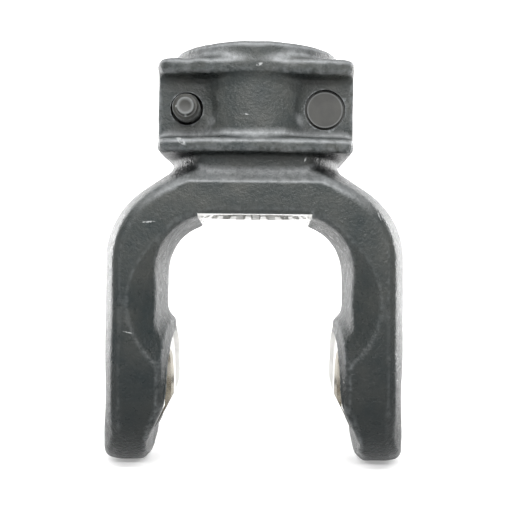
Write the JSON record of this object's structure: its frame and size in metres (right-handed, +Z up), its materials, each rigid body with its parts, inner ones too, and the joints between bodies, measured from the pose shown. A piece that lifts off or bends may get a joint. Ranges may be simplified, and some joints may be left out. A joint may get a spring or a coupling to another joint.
{
  "type": "forged yoke",
  "caption": "Black forged driveline yoke with a splined clamp hub, opposed wedge clamp pins and bored ears for a universal joint cross.",
  "frame": {"origin": "where the trunnion axis through the two ears crosses the shaft axis", "axes": "+Z up the shaft axis to the splined hub, X along the trunnion axis, -Y the front with the left pin's stud"},
  "size_m": [0.117, 0.065, 0.1593],
  "materials": {
    "forged_steel": "black forging scale, machined faces bare",
    "pin_steel": "blackened, satin"
  },
  "bodies": {
    "root": {"yoke_forging": "forged_steel", "clamp_pin_left": "pin_steel", "clamp_pin_right": "pin_steel"}
  },
  "joints": []
}
